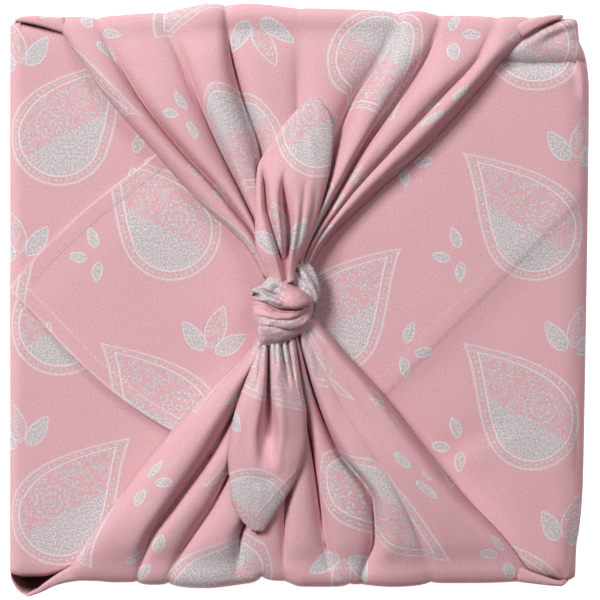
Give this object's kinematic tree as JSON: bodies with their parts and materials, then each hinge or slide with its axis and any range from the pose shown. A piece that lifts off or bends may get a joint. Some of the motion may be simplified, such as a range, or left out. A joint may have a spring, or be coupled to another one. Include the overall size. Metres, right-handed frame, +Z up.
{
  "type": "furoshiki wrap tied round a gift box",
  "caption": "Square cotton furoshiki cloth folded round a shallow square gift box, gathered and tied in a knot with two free ends on top.",
  "frame": {"origin": "centre of the footprint, on the surface the parcel rests on", "axes": "+Z up; +X towards the side whose corner flap lies uppermost; +Y towards the side of the shorter free end"},
  "size_m": [0.2915, 0.2964, 0.088],
  "materials": {
    "printed_cotton": "matte pink cotton with a silver print",
    "plain_board": "plain brown board"
  },
  "bodies": {
    "root": {"furoshiki_cloth": "printed_cotton", "gift_box": "plain_board"}
  },
  "joints": []
}
